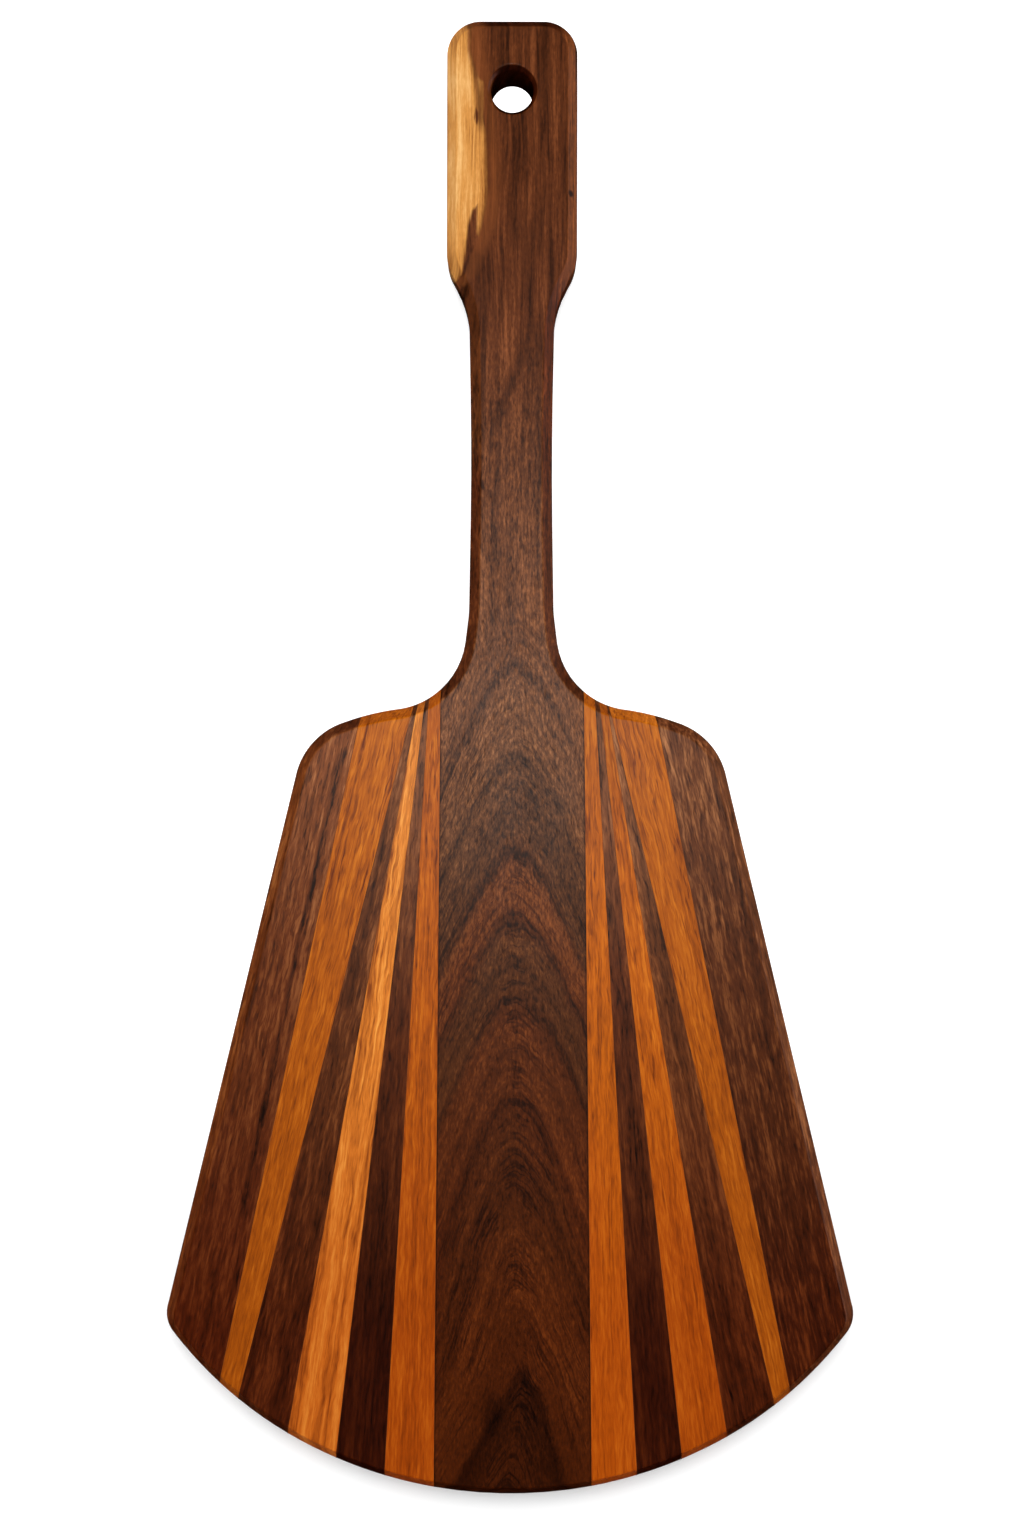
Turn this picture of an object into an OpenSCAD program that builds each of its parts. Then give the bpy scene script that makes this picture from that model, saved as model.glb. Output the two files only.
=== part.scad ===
// Paddle charcuterie board. One full-length walnut plank carries the handle and runs down the middle
// of the blade. Six tapered strips are edge-glued to each side of it, and the whole outline is bevelled
// on both faces. The board lies flat with its handle towards +Y, and z is zero at its underside.

/* [Board] */
// Thickness of the board
board_t = 19; // [14:0.5:30]
// Width of the 45 degree bevel along the outline, on both faces
bevel = 4; // [1:0.25:5.5]
// Thickness of the glue film in each seam
glue_t = 0.12; // [0.06:0.02:0.4]

/* [Handle] */
// Width of the head of the handle
head_w = 54; // [44:0.5:70]
// Length of the straight-sided head, from its end to the corner of the hip
head_len = 101.5; // [70:0.5:140]
// Radius of the two corners at the end of the head
head_corner_r = 14; // [8:0.5:22]
// Height of the hip, where the head narrows to the neck
hip_drop = 16.5; // [12:0.5:24]
// Radius of the hip's outer bend
hip_r = 21; // [10:0.5:30]
// Width of the neck at its upper end
neck_top_w = 35.5; // [30:0.5:42]
// Radius of the bend from the hip into the neck
neck_top_r = 46; // [20:1:60]
// Width between the straight lines of the neck where they meet half way down
neck_waist_w = 33; // [28:0.5:35]
// Radius that eases the waist of the neck
neck_waist_r = 1800; // [600:50:1800]
// Length of the neck
neck_len = 127; // [90:1:170]
// Width of the neck at its lower end
neck_low_w = 35; // [33:0.5:42]
// Radius of the bend where the neck begins to spread
neck_low_r = 70; // [30:1:90]

/* [Blade] */
// Height of the throat, from the end of the neck to the corner under it
throat_drop = 36.5; // [30:0.5:50]
// Width across the corners of the throat
throat_w = 44; // [40:0.5:50]
// Radius of the throat
throat_r = 32.5; // [15:0.5:40]
// Fall of the shoulder, from the throat to the shoulder's bend
shoulder_fall = 5; // [2:0.25:9]
// Width across the two bends of the shoulders
bend_w = 115; // [95:1:130]
// Radius of the shoulder's bend
bend_r = 106; // [40:2:140]
// Fall from the shoulder's bend to the blade's upper corner
corner_fall = 9.5; // [7:0.25:14]
// Width across the blade's upper corners
shoulder_w = 170.5; // [155:0.5:190]
// Radius of the blade's upper corners
shoulder_r = 30; // [12:0.5:40]
// Length of the blade, from its upper corners to its lower end
blade_len = 314; // [240:0.5:400]
// Greatest width of the blade, across its two tips
blade_w = 284.5; // [240:0.5:310]
// Radius of the tips
tip_r = 13; // [8:0.5:24]
// Radius of the lower edge, as a multiple of half the blade's width
lower_edge_round = 1.286; // [1.25:0.002:1.6]
// Radius of the arc between a tip and the lower edge, as a share of the lower edge's radius
tip_blend_share = 0.907; // [0.82:0.001:0.94]
// Turn of the lower edge to each side of the middle, in degrees
lower_edge_turn = 27.5; // [20:0.5:34]

/* [Hang hole] */
// Radius of the hang hole
hole_r = 8.75; // [4:0.25:12]
// Distance from the end of the head to the middle of the hang hole
hole_inset = 30; // [24:0.5:45]
// Width of the 45 degree countersink at each mouth of the hang hole
hole_bevel = 1.6; // [0.5:0.1:3]

/* [Strips of the left side] */
// Centre plank, from the middle line to its left seam, at the shoulder
left_plank_near_w = 29.1; // [26:0.1:34]
// The same at the lower end, as a share of half the blade's width
left_plank_far_share = 0.22; // [0.197:0.0001:0.267]
// Inner cherry strip at the shoulder
left_inner_cherry_near_w = 4.9; // [1:0.1:8]
// The same at the lower end, as a share of half the blade's width
left_inner_cherry_far_share = 0.1469; // [0.084:0.0001:0.183]
// Inner walnut strip at the shoulder
left_inner_walnut_near_w = 1.5; // [0.6:0.1:4]
// The same at the lower end, as a share of half the blade's width
left_inner_walnut_far_share = 0.1504; // [0.084:0.0001:0.183]
// Tan strip at the shoulder
left_tan_near_w = 2.8; // [1:0.1:6]
// The same at the lower end, as a share of half the blade's width
left_tan_far_share = 0.1596; // [0.098:0.0001:0.197]
// Middle walnut strip at the shoulder
left_middle_walnut_near_w = 1.4; // [0.6:0.1:4]
// The same at the lower end, as a share of half the blade's width
left_middle_walnut_far_share = 0.1828; // [0.112:0.0001:0.211]
// Wide cherry strip at the shoulder
left_wide_cherry_near_w = 21; // [12:0.1:30]
// The same at the lower end, as a share of half the blade's width
left_wide_cherry_far_share = 0.052; // [0.035:0.0001:0.063]

/* [Strips of the right side] */
// Centre plank, from the middle line to its right seam, at the shoulder
right_plank_near_w = 30; // [26:0.1:34]
// The same at the lower end, as a share of half the blade's width
right_plank_far_share = 0.2376; // [0.197:0.0001:0.267]
// Inner cherry strip at the shoulder
right_inner_cherry_near_w = 4.6; // [1:0.1:8]
// The same at the lower end, as a share of half the blade's width
right_inner_cherry_far_share = 0.135; // [0.084:0.0001:0.183]
// Inner walnut strip at the shoulder
right_inner_walnut_near_w = 1.7; // [0.6:0.1:4]
// The same at the lower end, as a share of half the blade's width
right_inner_walnut_far_share = 0.1392; // [0.084:0.0001:0.183]
// Middle cherry strip at the shoulder
right_middle_cherry_near_w = 2.9; // [1:0.1:6]
// The same at the lower end, as a share of half the blade's width
right_middle_cherry_far_share = 0.1483; // [0.098:0.0001:0.197]
// Middle walnut strip at the shoulder
right_middle_walnut_near_w = 0.6; // [0.3:0.1:4]
// The same at the lower end, as a share of half the blade's width
right_middle_walnut_far_share = 0.1715; // [0.112:0.0001:0.211]
// Wide cherry strip at the shoulder
right_wide_cherry_near_w = 18.6; // [12:0.1:30]
// The same at the lower end, as a share of half the blade's width
right_wide_cherry_far_share = 0.0429; // [0.035:0.0001:0.063]

/* [Hidden] */
// Most that a facet of the outline may stand off its true arc
curve_error = 0.03;
// Shortest straight run that the outline keeps between two rounded corners
least_run = 0.5;
// How far an arc of the outline stands out past a flatter neighbour, so that the two cross at their joint
stand_out = 0.02;
// How far the tighter of two neighbours runs on past their joint, as a multiple of the way to the crossing
run_on = 1.8;
// How much wider the bevel is along a straight run, which keeps its edges off those of the arcs
line_widening = 0.01;
// How far the edge's bevels run on above and below the board before it is cut to its thickness
bevel_run = 1;
// How far every cutting shape runs past what it cuts
overrun = 5;
// How far the bands along the edge reach past their bevels, into the board
band_lap = 4;
// Straight runs that stand for an arc of the board's inner core
core_steps = 4;
// Facets of the hang hole
hole_facets = 96;

// Levels of the outline, from the head down to the lower end, with y zero half way along the board
board_len = head_len + hip_drop + neck_len + throat_drop + shoulder_fall + corner_fall + blade_len;
head_y = board_len / 2;
hip_y = head_y - head_len;
neck_top_y = hip_y - hip_drop;
neck_waist_y = neck_top_y - neck_len / 2;
neck_low_y = neck_top_y - neck_len;
throat_y = neck_low_y - throat_drop;
bend_y = throat_y - shoulder_fall;
corner_y = bend_y - corner_fall;
lower_y = -head_y;

// Tip of the right half: three arcs that meet without a kink, and the side line that leaves the last
lower_edge_r = lower_edge_round * blade_w / 2;
tip_blend_r = tip_blend_share * lower_edge_r;
lower_centre = [0, lower_y + lower_edge_r];
blend_centre = lower_centre
    + (lower_edge_r - tip_blend_r) * [sin(lower_edge_turn), -cos(lower_edge_turn)];
tip_x = blade_w / 2 - tip_r;
tip_centre = [
    tip_x,
    blend_centre.y - sqrt(pow(tip_blend_r - tip_r, 2) - pow(tip_x - blend_centre.x, 2)),
];
upper_corner = [shoulder_w / 2, corner_y];
side_run = norm(tip_centre - upper_corner);
side_angle = atan2(tip_centre.y - upper_corner.y, tip_centre.x - upper_corner.x) + asin(tip_r / side_run);
side_end = upper_corner
    + sqrt(side_run * side_run - tip_r * tip_r) * [cos(side_angle), sin(side_angle)];

// Corners of the right half and the radius that rounds each, from the end of the head to the tip
corners = [
    [0, head_y],
    [head_w / 2, head_y],
    [head_w / 2, hip_y],
    [neck_top_w / 2, neck_top_y],
    [neck_waist_w / 2, neck_waist_y],
    [neck_low_w / 2, neck_low_y],
    [throat_w / 2, throat_y],
    [bend_w / 2, bend_y],
    upper_corner,
    side_end,
];
corner_radii = [
    0,
    head_corner_r,
    hip_r,
    neck_top_r,
    neck_waist_r,
    neck_low_r,
    throat_r,
    bend_r,
    shoulder_r,
    0,
];

function unit(v) = v / norm(v);
function cross_2d(a, b) = a.x * b.y - a.y * b.x;
function angle_of(v) = atan2(v.y, v.x);
function turn_between(from, to) = (to - from + 540) % 360 - 180;

// Half of the angle inside corner k, and the length that its rounding takes from each of its sides
function half_angle(k) =
    acos(unit(corners[k - 1] - corners[k]) * unit(corners[k + 1] - corners[k])) / 2;
function reach(k) = corner_radii[k] == 0 ? 0 : corner_radii[k] / tan(half_angle(k));
// Share of its radius that corner k keeps, so that its rounding never runs past its neighbours
function kept_share(k) = min(
    1,
    (norm(corners[k] - corners[k - 1]) - least_run) / (reach(k - 1) + reach(k)),
    (norm(corners[k + 1] - corners[k]) - least_run) / (reach(k) + reach(k + 1))
);

// An arc of the outline: its centre, its radius, the angle that it starts at, how far it turns, and 1
// where the board lies inside its circle or -1 where it lies outside
function arc_point(arc, share, inset) =
    let (angle = arc[2] + share * arc[3])
    arc[0] + (arc[1] - arc[4] * inset) * [cos(angle), sin(angle)];
function corner_arc(k) =
    let (r = corner_radii[k] * kept_share(k))
    let (u = unit(corners[k - 1] - corners[k]))
    let (w = unit(corners[k + 1] - corners[k]))
    let (centre = corners[k] + unit(u + w) * r / sin(half_angle(k)))
    let (from = angle_of(corners[k] + u * r / tan(half_angle(k)) - centre))
    let (to = angle_of(corners[k] + w * r / tan(half_angle(k)) - centre))
    [centre, r, from, turn_between(from, to), cross_2d(u, w) > 0 ? 1 : -1];

// Arcs of the right half, clockwise from the end of the head, and the straight lines between them
tip_from = angle_of(side_end - tip_centre);
tip_to = angle_of(tip_centre - blend_centre);
lower_from = lower_edge_turn - 90;
corner_arcs = [for (k = [1:len(corners) - 2]) corner_arc(k)];
tip_arc = [tip_centre, tip_r, tip_from, turn_between(tip_from, tip_to), 1];
blend_arc = [blend_centre, tip_blend_r, tip_to, turn_between(tip_to, lower_from), 1];
lower_arc = [lower_centre, lower_edge_r, lower_from, -lower_edge_turn, 1];
right_arcs = [each corner_arcs, tip_arc, blend_arc, lower_arc];
last_line = len(corner_arcs);

// Way from the joint of two neighbours to their crossing, where one stands out past the other and is bent
// more by the difference of their curvatures
function crossing(proud, bend) = sqrt(2 * proud / bend);
function run_past(proud, bend) = run_on * crossing(proud, bend);
// The same as an angle of an arc of radius r
function turn_past(r, proud, bend) = run_past(proud, bend) / r * 180 / PI;

// Section through the board's edge, with both bevels. The edge stands at x, and the board lies on the
// side that inward points to.
band_w = bevel + band_lap;
module edge_section(x, inward, bevel_w, past) {
    polygon([
        [max(x + inward * band_w, 0), -past],
        [x + inward * (bevel_w + past), -past],
        [x, bevel_w],
        [x, board_t - bevel_w],
        [x + inward * (bevel_w + past), board_t + past],
        [max(x + inward * band_w, 0), board_t + past],
    ]);
}
// Edge along an arc that stands out by proud and turns on by the angles before and after
module edge_along_arc(arc, proud, before, after) {
    r = arc[1] + proud;
    translate(arc[0])
        rotate_extrude(
            start = arc[3] < 0 ? arc[2] + arc[3] - after : arc[2] - before,
            angle = abs(arc[3]) + before + after,
            $fn = ceil(180 / acos(1 - curve_error / arc[1]))
        )
            edge_section(r, -arc[4], bevel, bevel_run);
}
// Edge along a straight line from one point to another, that runs on by the lengths before and after
module edge_along_line(from, to, before, after) {
    translate(from)
        rotate([90, 0, angle_of(to - from) + 90])
            translate([-band_w, 0, -before])
                linear_extrude(norm(to - from) + before + after)
                    edge_section(band_w, -1, bevel + line_widening, 1.5 * bevel_run);
}
// A rounded corner that bulges out runs on over its straight neighbours, and covers as much of them as
// this. They run on over a hollow one.
function line_past(arc) = arc[4] > 0 ? 0 : run_past(stand_out, 1 / arc[1]);
function line_covered(arc) = arc[4] > 0 ? crossing(stand_out, 1 / arc[1]) : 0;
module rounded_corner(arc) {
    past = arc[4] > 0 ? turn_past(arc[1], stand_out, 1 / arc[1]) : 0;
    edge_along_arc(arc, stand_out, past, past);
}
module right_edge() {
    for (arc = corner_arcs) rounded_corner(arc);
    for (k = [1:last_line]) {
        from = arc_point(right_arcs[k - 1], 1, 0);
        to = arc_point(right_arcs[k], 0, 0);
        if (norm(to - from) > line_covered(right_arcs[k - 1]) + line_covered(right_arcs[k]))
            edge_along_line(from, to, line_past(right_arcs[k - 1]), line_past(right_arcs[k]));
    }
    edge_along_arc(
        tip_arc,
        3 * stand_out,
        turn_past(tip_r, 3 * stand_out, 1 / tip_r),
        turn_past(tip_r, stand_out, 1 / tip_r - 1 / tip_blend_r)
    );
    edge_along_arc(
        blend_arc,
        2 * stand_out,
        0,
        turn_past(tip_blend_r, stand_out, 1 / tip_blend_r - 1 / lower_edge_r)
    );
}
// The end of the head and the lower edge reach across the middle line
module end_edges() {
    head_end = arc_point(corner_arcs[0], 0, 0);
    edge_along_line([-head_end.x, head_y], head_end, 0, 0);
    edge_along_arc(lower_arc, stand_out, 0, lower_edge_turn);
}

// The whole board before it is divided: bevelled bands along its edge, and the flat middle within them
core_inset = bevel + band_lap / 2;
core_half = [
    for (arc = right_arcs, k = [0:core_steps]) arc_point(arc, k / core_steps, core_inset),
];
core_outline = [
    each core_half,
    for (k = [len(core_half) - 2:-1:0]) [-core_half[k].x, core_half[k].y],
];
module board_blank() {
    translate([0, 0, -2 * bevel_run]) linear_extrude(board_t + 4 * bevel_run) polygon(core_outline);
    end_edges();
    right_edge();
    mirror([1, 0, 0]) right_edge();
}

// Places of the six seams of each side, from the middle line outwards, at the shoulder and at the end
function sum_to(widths, k) = k < 0 ? 0 : widths[k] + sum_to(widths, k - 1);
function running_sums(widths) = [for (k = [0:len(widths) - 1]) sum_to(widths, k)];
left_near_x = running_sums([
    left_plank_near_w,
    left_inner_cherry_near_w,
    left_inner_walnut_near_w,
    left_tan_near_w,
    left_middle_walnut_near_w,
    left_wide_cherry_near_w,
]);
left_far_x = blade_w / 2 * running_sums([
    left_plank_far_share,
    left_inner_cherry_far_share,
    left_inner_walnut_far_share,
    left_tan_far_share,
    left_middle_walnut_far_share,
    left_wide_cherry_far_share,
]);
right_near_x = running_sums([
    right_plank_near_w,
    right_inner_cherry_near_w,
    right_inner_walnut_near_w,
    right_middle_cherry_near_w,
    right_middle_walnut_near_w,
    right_wide_cherry_near_w,
]);
right_far_x = blade_w / 2 * running_sums([
    right_plank_far_share,
    right_inner_cherry_far_share,
    right_inner_walnut_far_share,
    right_middle_cherry_far_share,
    right_middle_walnut_far_share,
    right_wide_cherry_far_share,
]);
last_seam = len(left_near_x) - 1;

// A seam as a straight line in plan, moved outwards by shift: its place at any level y
function seam_lean(near_x, far_x, seam) = (far_x[seam] - near_x[seam]) / (throat_y - lower_y);
function seam_x(near_x, far_x, seam, shift, y) =
    let (lean = seam_lean(near_x, far_x, seam))
    near_x[seam] + lean * (throat_y - y) + shift * sqrt(1 + lean * lean);
// Level at which two seam lines meet, or the end of the neck where they meet above it
function meeting_y(near_x, far_x, seam, next, shift, next_shift) =
    let (gap = seam_x(near_x, far_x, next, next_shift, throat_y) - seam_x(near_x, far_x, seam, shift, throat_y))
    let (spread = seam_lean(near_x, far_x, next) - seam_lean(near_x, far_x, seam))
    spread * (neck_low_y - throat_y) > gap ? throat_y + gap / spread : neck_low_y;

// Strip that starts at a seam and ends at the next one out, or at the board's edge
function strip_plan(near_x, far_x, seam) =
    let (low_y = lower_y - overrun)
    let (shift = glue_t / 2)
    seam == last_seam
        ? [
            [seam_x(near_x, far_x, seam, shift, neck_low_y), neck_low_y],
            [blade_w, neck_low_y],
            [blade_w, low_y],
            [seam_x(near_x, far_x, seam, shift, low_y), low_y],
        ]
        : let (top_y = meeting_y(near_x, far_x, seam, seam + 1, shift, -shift))
        [
            [seam_x(near_x, far_x, seam, shift, top_y), top_y],
            if (top_y == neck_low_y) [seam_x(near_x, far_x, seam + 1, -shift, top_y), top_y],
            [seam_x(near_x, far_x, seam + 1, -shift, low_y), low_y],
            [seam_x(near_x, far_x, seam, shift, low_y), low_y],
        ];
// Film of glue that fills a seam
function glue_plan(near_x, far_x, seam) =
    let (low_y = lower_y - overrun)
    let (shift = glue_t / 2)
    [
        [seam_x(near_x, far_x, seam, -shift, neck_low_y), neck_low_y],
        [seam_x(near_x, far_x, seam, shift, neck_low_y), neck_low_y],
        [seam_x(near_x, far_x, seam, shift, low_y), low_y],
        [seam_x(near_x, far_x, seam, -shift, low_y), low_y],
    ];
// The blank is cut to its thickness and divided by upright walls that stand on these plans
module board_piece(plan) {
    intersection() {
        board_blank();
        linear_extrude(board_t) polygon(plan);
    }
}
module right_strip(seam) {
    board_piece(strip_plan(right_near_x, right_far_x, seam));
}
module left_strip(seam) {
    mirror([1, 0, 0]) board_piece(strip_plan(left_near_x, left_far_x, seam));
}
module right_glue(seam) {
    color("wheat") board_piece(glue_plan(right_near_x, right_far_x, seam));
}
module left_glue(seam) {
    color("wheat") mirror([1, 0, 0]) board_piece(glue_plan(left_near_x, left_far_x, seam));
}

// Hang hole, with a countersink at each mouth
module hang_hole() {
    mouth_r = hole_r + hole_bevel + overrun;
    translate([0, head_y - hole_inset, 0])
        rotate_extrude($fn = hole_facets)
            polygon([
                [0, -overrun],
                [mouth_r, -overrun],
                [hole_r, hole_bevel],
                [hole_r, board_t - hole_bevel],
                [mouth_r, board_t + overrun],
                [0, board_t + overrun],
            ]);
}

// Centre plank with the handle: what lies between the innermost seams and above them, with the hang hole
plank_plan =
    let (low_y = lower_y - overrun)
    let (shift = -glue_t / 2)
    [
        [-seam_x(left_near_x, left_far_x, 0, shift, low_y), low_y],
        [-seam_x(left_near_x, left_far_x, 0, shift, neck_low_y), neck_low_y],
        [-blade_w, neck_low_y],
        [-blade_w, head_y + overrun],
        [blade_w, head_y + overrun],
        [blade_w, neck_low_y],
        [seam_x(right_near_x, right_far_x, 0, shift, neck_low_y), neck_low_y],
        [seam_x(right_near_x, right_far_x, 0, shift, low_y), low_y],
    ];
module centre_plank() {
    color("saddlebrown")
        difference() {
            board_piece(plank_plan);
            hang_hole();
        }
}
module left_inner_cherry_strip() {
    color("peru") left_strip(0);
}
module left_inner_walnut_strip() {
    color("sienna") left_strip(1);
}
module left_tan_strip() {
    color("tan") left_strip(2);
}
module left_middle_walnut_strip() {
    color("sienna") left_strip(3);
}
module left_wide_cherry_strip() {
    color("peru") left_strip(4);
}
module left_edge_walnut_strip() {
    color("sienna") left_strip(5);
}
module right_inner_cherry_strip() {
    color("peru") right_strip(0);
}
module right_inner_walnut_strip() {
    color("sienna") right_strip(1);
}
module right_middle_cherry_strip() {
    color("peru") right_strip(2);
}
module right_middle_walnut_strip() {
    color("sienna") right_strip(3);
}
module right_wide_cherry_strip() {
    color("peru") right_strip(4);
}
module right_edge_walnut_strip() {
    color("sienna") right_strip(5);
}

centre_plank();
left_inner_cherry_strip();
left_inner_walnut_strip();
left_tan_strip();
left_middle_walnut_strip();
left_wide_cherry_strip();
left_edge_walnut_strip();
right_inner_cherry_strip();
right_inner_walnut_strip();
right_middle_cherry_strip();
right_middle_walnut_strip();
right_wide_cherry_strip();
right_edge_walnut_strip();
left_glue(0);  // left_glue_line_1
left_glue(1);  // left_glue_line_2
left_glue(2);  // left_glue_line_3
left_glue(3);  // left_glue_line_4
left_glue(4);  // left_glue_line_5
left_glue(5);  // left_glue_line_6
right_glue(0);  // right_glue_line_1
right_glue(1);  // right_glue_line_2
right_glue(2);  // right_glue_line_3
right_glue(3);  // right_glue_line_4
right_glue(4);  // right_glue_line_5
right_glue(5);  // right_glue_line_6
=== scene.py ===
import math
from types import SimpleNamespace
import bmesh
import bpy
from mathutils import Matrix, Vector


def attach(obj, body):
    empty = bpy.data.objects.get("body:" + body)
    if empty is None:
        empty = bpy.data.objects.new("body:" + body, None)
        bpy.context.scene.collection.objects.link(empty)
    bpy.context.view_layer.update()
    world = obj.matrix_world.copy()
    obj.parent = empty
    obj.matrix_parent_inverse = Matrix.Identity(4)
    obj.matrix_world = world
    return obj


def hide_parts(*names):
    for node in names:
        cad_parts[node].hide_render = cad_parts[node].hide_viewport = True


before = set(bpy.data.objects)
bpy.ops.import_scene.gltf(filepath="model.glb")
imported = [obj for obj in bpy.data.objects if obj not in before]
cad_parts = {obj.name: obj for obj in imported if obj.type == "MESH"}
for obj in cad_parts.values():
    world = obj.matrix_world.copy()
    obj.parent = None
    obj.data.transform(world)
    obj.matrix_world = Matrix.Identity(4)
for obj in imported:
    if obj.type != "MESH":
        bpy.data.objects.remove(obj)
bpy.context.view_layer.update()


# a colour as it reads on screen, 0 to 255, turned into the linear value that a shader wants
def paint(red, green, blue):
    def linear(level):
        level = level / 255
        return level / 12.92 if level <= 0.04045 else ((level + 0.055) / 1.055) ** 2.4
    return (linear(red), linear(green), linear(blue), 1.0)


# one number of a shader, so that the sums below read as plain Python
class Num:
    def __init__(self, sheet, socket):
        self.sheet = sheet
        self.socket = socket

    def join(self, kind, *others):
        inputs = {place: value for place, value in enumerate((self,) + others)}
        return self.sheet.number("ShaderNodeMath", {"operation": kind}, inputs)

    def __add__(self, other):
        return self.join("ADD", other)

    def __radd__(self, other):
        return self.join("ADD", other)

    def __sub__(self, other):
        return self.join("SUBTRACT", other)

    def __rsub__(self, other):
        return self.join("MULTIPLY", -1.0).join("ADD", other)

    def __mul__(self, other):
        return self.join("MULTIPLY", other)

    def __rmul__(self, other):
        return self.join("MULTIPLY", other)

    def __truediv__(self, other):
        return self.join("DIVIDE", other)

    def __pow__(self, other):
        return self.join("POWER", other)

    def __abs__(self):
        return self.join("ABSOLUTE")

    def root(self):
        return self.join("SQRT")

    def atLeast(self, other):
        return self.join("MAXIMUM", other)

    # 0 below the first value, 1 above the second, eased between them
    def step(self, low, high):
        settings = {"interpolation_type": "SMOOTHSTEP"}
        inputs = {"Value": self, "From Min": low, "From Max": high, "To Min": 0.0, "To Max": 1.0}
        return self.sheet.number("ShaderNodeMapRange", settings, inputs)

    # up from 0 to 1 between the first two values, and down again between the last two
    def window(self, rise, risen, fall, fallen):
        return self.step(rise, risen) * (1 - self.step(fall, fallen))

    # 1 at the middle, 0 a reach away from it on both sides
    def bump(self, middle, reach):
        return 1 - abs(self - middle).step(0.0, reach)


# how far out a point lies in an oval: 0 in its middle, 1 at its rim; with halves of 1, the plain distance
def ovalPlace(x, y, middle, level, halfWidth, halfHeight):
    return (((x - middle) / halfWidth) ** 2.0 + ((y - level) / halfHeight) ** 2.0).root()


# the nodes of one material, or of the world
class Sheet:
    def __init__(self, owner):
        owner.use_nodes = True
        self.owner = owner
        self.tree = owner.node_tree
        self.tree.nodes.clear()

    def add(self, kind, settings=None, inputs=None):
        node = self.tree.nodes.new(kind)
        for key, value in (settings or {}).items():
            setattr(node, key, value)
        for key, value in (inputs or {}).items():
            if isinstance(value, Num):
                value = value.socket
            if isinstance(value, bpy.types.NodeSocket):
                self.tree.links.new(value, node.inputs[key])
            else:
                node.inputs[key].default_value = value
        return node

    def number(self, kind, settings=None, inputs=None, output=0):
        return Num(self, self.add(kind, settings, inputs).outputs[output])

    # soft noise about 0, roughly from -0.5 to 0.5; a mark is its size along each place, its detail
    # and its roughness, and a shift reads the noise somewhere else
    def noise(self, mark, places, shift=(0.0, 0.0, 0.0)):
        sizes, detail, roughness = mark
        parts = [place / size for place, size in zip(places, sizes)]
        parts = [part + move if move else part for part, move in zip(parts, shift)]
        point = self.add("ShaderNodeCombineXYZ", None, dict(enumerate(parts))).outputs[0]
        inputs = {"Vector": point, "Scale": 1.0, "Detail": detail, "Roughness": roughness}
        return self.number("ShaderNodeTexNoise", None, inputs, "Fac") - 0.5

    # a line through the given pairs of (value in, value out)
    def curve(self, value, pairs):
        lowIn, highIn = pairs[0][0], pairs[-1][0]
        lowOut, highOut = min(p[1] for p in pairs), max(p[1] for p in pairs)
        node = self.add("ShaderNodeFloatCurve", None, {"Value": (value - lowIn) / (highIn - lowIn)})
        points = node.mapping.curves[0].points
        places = [((a - lowIn) / (highIn - lowIn), (b - lowOut) / (highOut - lowOut)) for a, b in pairs]
        points[0].location, points[1].location = places[0], places[-1]
        for place in places[1:-1]:
            points.new(*place)
        for one in points:
            one.handle_type = "VECTOR"
        node.mapping.update()
        return Num(self, node.outputs[0]) * (highOut - lowOut) + lowOut

    # a colour for every value, from pairs of (value, colour)
    def ramp(self, value, *stops):
        node = self.add("ShaderNodeValToRGB", None, {0: value})
        elements = node.color_ramp.elements
        elements[0].position, elements[0].color = stops[0][0], paint(*stops[0][1])
        elements[1].position, elements[1].color = stops[-1][0], paint(*stops[-1][1])
        for place, colour in stops[1:-1]:
            elements.new(place).color = paint(*colour)
        return node.outputs[0]

    def blend(self, factor, first, second, kind="MIX"):
        settings = {"data_type": "RGBA", "blend_type": kind}
        node = self.add("ShaderNodeMix", settings, {0: factor, 6: first, 7: second})
        return node.outputs[2]

    # a colour multiplied by a tint where the factor is 1; 255 changes nothing, and over 255 is lighter
    def tint(self, colour, factor, levels):
        return self.blend(factor, colour, paint(*levels), "MULTIPLY")

    # how squarely the surface faces along an axis, from -1 to 1
    def facing(self, axis):
        normal = self.add("ShaderNodeNewGeometry").outputs["Normal"]
        return self.number("ShaderNodeSeparateXYZ", None, {0: normal}, axis)

    # the wood's own millimetres: across the grain, along it and up through the board
    def woodPlace(self, middle, lean):
        spot = self.add("ShaderNodeTexCoord").outputs["Object"]
        inputs = {"Vector": spot, "Location": (middle / 1000, 0.0, 0.0), "Scale": (0.001, 0.001, 0.001),
                  "Rotation": (0.0, 0.0, -math.atan(lean))}
        turned = self.add("ShaderNodeMapping", {"vector_type": "TEXTURE"}, inputs).outputs[0]
        apart = self.add("ShaderNodeSeparateXYZ", None, {0: turned})
        return [Num(self, apart.outputs[place]) for place in range(3)]

    def finish(self, colour, roughness, height, polish):
        relief = {"Strength": polish["bumpStrength"], "Distance": polish["bumpDepth"], "Height": height}
        bump = self.add("ShaderNodeBump", None, relief)
        inputs = {"Base Color": colour, "Roughness": roughness, "Normal": bump.outputs[0],
                  "Specular IOR Level": polish["shine"], "IOR": polish["ior"]}
        shader = self.add("ShaderNodeBsdfPrincipled", None, inputs)
        self.add("ShaderNodeOutputMaterial", None, {"Surface": shader.outputs[0]})
        return self.owner


# oiled wood, the same on every piece
oil = {
    "shine": 0.5,            # how strongly it reflects
    "ior": 1.45,
    "roughness": 0.3,
    "cloudRoughness": 0.08,  # how much rougher it is in the pale clouds
    "poreRoughness": 0.12,   # and in the pores
    "bumpStrength": 0.25,
    "bumpDepth": 0.00006,    # metres
    "grainRelief": 0.6,      # how much the grain stands out, beside the pores
}

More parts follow.
